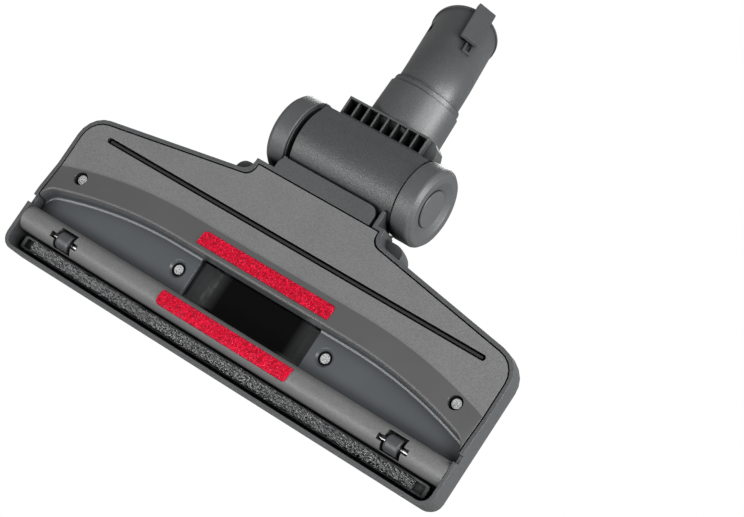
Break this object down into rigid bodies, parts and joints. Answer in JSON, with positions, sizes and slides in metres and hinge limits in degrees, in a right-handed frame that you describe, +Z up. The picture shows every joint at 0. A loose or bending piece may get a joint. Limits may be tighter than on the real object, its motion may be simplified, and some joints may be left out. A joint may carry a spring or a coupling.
{
  "type": "vacuum cleaner floor head",
  "caption": "Wide combination floor head for a vacuum cleaner, with front rollers, rear wheels, pedal-lifted brushes and a swivelling elbow for the tube.",
  "frame": {"origin": "on the floor, under the middle of the overall box", "axes": "+X across the head, +Y from the front edge to the tube, +Z up"},
  "size_m": [0.298, 0.2596, 0.0801],
  "materials": {
    "housing": "finely textured",
    "sole": "finely textured",
    "lint_pile": "short directional pile",
    "screw_steel": "zinc plated",
    "pin_steel": "ground",
    "duct": "semi-gloss",
    "hinge": "satin",
    "seal_rubber": "matt",
    "roller": "satin",
    "wheel": "satin",
    "pedal": "satin",
    "brush_holder": "satin",
    "bristle": "dense tufts",
    "elbow": "finely textured"
  },
  "bodies": {
    "head": {"top_housing": "housing", "sole_plate": "sole", "front_lint_strip": "lint_pile", "rear_lint_strip": "lint_pile", "sole_screws": "screw_steel", "air_duct": "duct", "hinge_drum": "hinge", "duct_gasket": "seal_rubber", "axle_pins": "pin_steel", "axle_washers": "screw_steel", "roller_pins": "pin_steel", "pedal_pin": "pin_steel"},
    "roller_left": {"roller_left": "roller"},
    "roller_right": {"roller_right": "roller"},
    "wheel_left": {"wheel_left": "wheel", "hub_cap_left": "pedal"},
    "wheel_right": {"wheel_right": "wheel", "hub_cap_right": "pedal"},
    "pedal": {"pedal": "pedal"},
    "brush_lift": {"brush_frame": "brush_holder", "front_bristles": "bristle", "rear_lip": "seal_rubber"},
    "neck": {"neck_body": "housing", "neck_cover": "sole"},
    "elbow": {"elbow": "elbow", "swivel_ring": "brush_holder", "swivel_seal": "seal_rubber", "latch_pin": "pin_steel"},
    "latch": {"latch_lever": "housing"}
  },
  "joints": [
    {"name": "roller_left_spin", "type": "hinge", "parent": "head", "child": "roller_left", "pos_m": [-0.1146, -0.11042, 0.005], "axis": [1, 0, 0], "continuous": true},
    {"name": "roller_right_spin", "type": "hinge", "parent": "head", "child": "roller_right", "pos_m": [0.1146, -0.11042, 0.005], "axis": [1, 0, 0], "continuous": true},
    {"name": "wheel_left_spin", "type": "hinge", "parent": "head", "child": "wheel_left", "pos_m": [-0.0459, 0.00858, 0.0233], "axis": [1, 0, 0], "continuous": true},
    {"name": "wheel_right_spin", "type": "hinge", "parent": "head", "child": "wheel_right", "pos_m": [0.0381, 0.00858, 0.0233], "axis": [1, 0, 0], "continuous": true},
    {"name": "pedal_rock", "type": "hinge", "parent": "head", "child": "pedal", "pos_m": [0, -0.02992, 0.03654], "axis": [1, 0, 0], "range_deg": [0, 12.9]},
    {"name": "brush_drop", "type": "slide", "parent": "head", "child": "brush_lift", "axis": [0, 0, -1], "range_m": [0, 0.0054]},
    {"name": "neck_swing", "type": "hinge", "parent": "head", "child": "neck", "pos_m": [-0.0055, 0.00858, 0.0233], "axis": [1, 0, 0], "range_deg": [0, 60]},
    {"name": "elbow_swivel", "type": "hinge", "parent": "neck", "child": "elbow", "pos_m": [-0.006, 0.06558, 0.036], "axis": [0, 1, 0], "range_deg": [-109, 51]},
    {"name": "latch_turn", "type": "hinge", "parent": "elbow", "child": "latch", "pos_m": [-0.00412, 0.11705, 0.04383], "axis": [-0.8299, -0.0644, 0.5542], "range_deg": [0, 4.5], "stiffness_Nm_per_rad": 0.05}
  ],
  "couplings": [
    {"joint": "pedal_rock", "follows": "brush_drop", "rad_per_m": 41.6}
  ]
}
